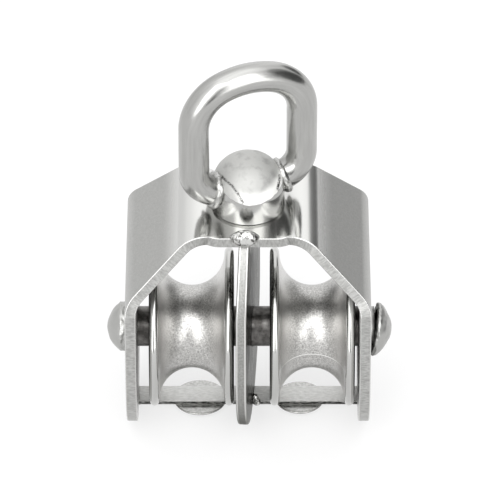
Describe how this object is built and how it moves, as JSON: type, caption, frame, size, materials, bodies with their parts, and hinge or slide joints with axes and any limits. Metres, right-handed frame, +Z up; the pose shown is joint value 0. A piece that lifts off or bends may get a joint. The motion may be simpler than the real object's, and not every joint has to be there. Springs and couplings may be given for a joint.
{
  "type": "double pulley block",
  "caption": "Small steel pulley block with two grooved wheels side by side on one riveted axle, in a bent sheet housing under a swivel eye.",
  "frame": {"origin": "middle of the axle, straight under the swivel, where the two ropes' load acts", "axes": "+X along the axle to the hammered rivet head, +Y to the rear, +Z up to the eye"},
  "size_m": [0.0446, 0.031, 0.0661],
  "materials": {
    "satin_sheet": "satin",
    "polished_plate": "polished",
    "polished_bar": "polished",
    "turned_pin": "polished",
    "rivet_steel": "satin",
    "cast_wheel": "fine cast grain with polished rims",
    "cut_strip": "cut edge",
    "weld_metal": "polished weld"
  },
  "bodies": {
    "eye": {"eye_ring": "polished_bar", "swivel_pin": "turned_pin", "ring_weld_left": "weld_metal", "ring_weld_right": "weld_metal"},
    "frame": {"housing": "satin_sheet", "centre_plate": "polished_plate", "plate_weld_front": "weld_metal", "plate_weld_rear": "weld_metal", "axle_rivet": "rivet_steel", "swivel_washer": "rivet_steel", "guard_bar_left": "cut_strip", "guard_bar_right": "cut_strip", "guard_button_left": "rivet_steel", "guard_button_right": "rivet_steel", "guard_weld_left_outer": "weld_metal", "guard_weld_left_inner": "weld_metal", "guard_weld_right_outer": "weld_metal", "guard_weld_right_inner": "weld_metal"},
    "sheave_left": {"sheave_left": "cast_wheel"},
    "sheave_right": {"sheave_right": "cast_wheel"}
  },
  "joints": [
    {"name": "eye_swivel", "type": "hinge", "parent": "eye", "child": "frame", "pos_m": [0, 0, 0.0241], "axis": [0, 0, 1], "continuous": true},
    {"name": "left_wheel_spin", "type": "hinge", "parent": "frame", "child": "sheave_left", "pos_m": [-0.00882, 0, 0], "axis": [1, 0, 0], "continuous": true},
    {"name": "right_wheel_spin", "type": "hinge", "parent": "frame", "child": "sheave_right", "pos_m": [0.01003, 0, 0], "axis": [1, 0, 0], "continuous": true}
  ]
}
